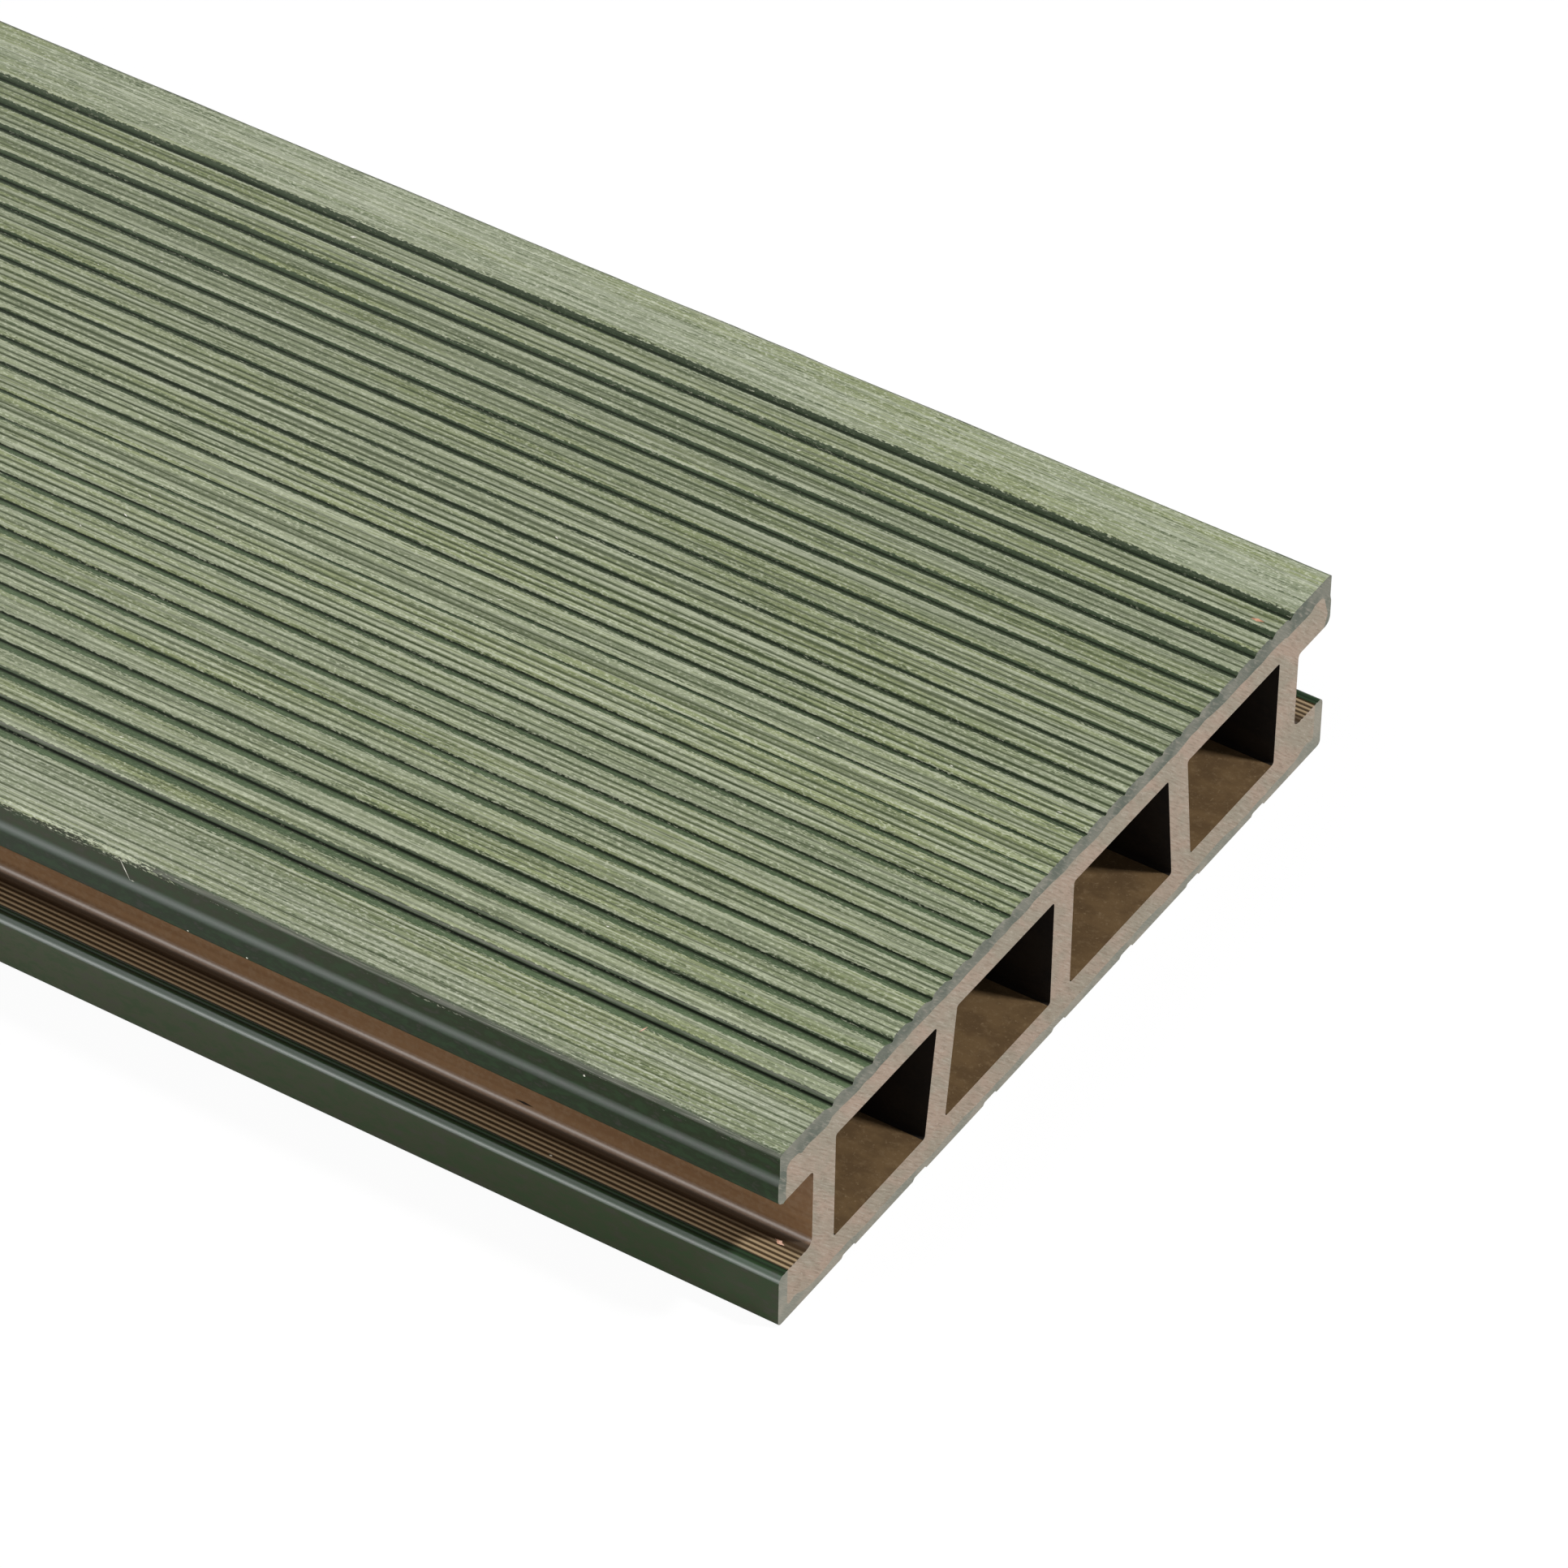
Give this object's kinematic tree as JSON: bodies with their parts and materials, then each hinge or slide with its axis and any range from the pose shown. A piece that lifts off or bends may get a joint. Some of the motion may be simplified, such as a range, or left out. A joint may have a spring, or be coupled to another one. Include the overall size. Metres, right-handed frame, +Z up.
{
  "type": "decking board",
  "caption": "Hollow composite decking board: brown core, green brushed and grooved cap, through chambers and a clip groove along each side.",
  "frame": {"origin": "middle of the underside", "axes": "+X along the board, +Y across it, +Z up through the grooved face"},
  "size_m": [2.2, 0.14, 0.031],
  "materials": {
    "core": "brown wood-plastic composite, smooth as extruded in the clip grooves and chambers, pale and dull where sawn",
    "cap": "green composite cap: brushed to a pale sage green on the top, smooth dark green in the grooves and on the sides"
  },
  "bodies": {
    "root": {"core": "core", "top_cap": "cap", "bottom_cap": "cap"}
  },
  "joints": []
}
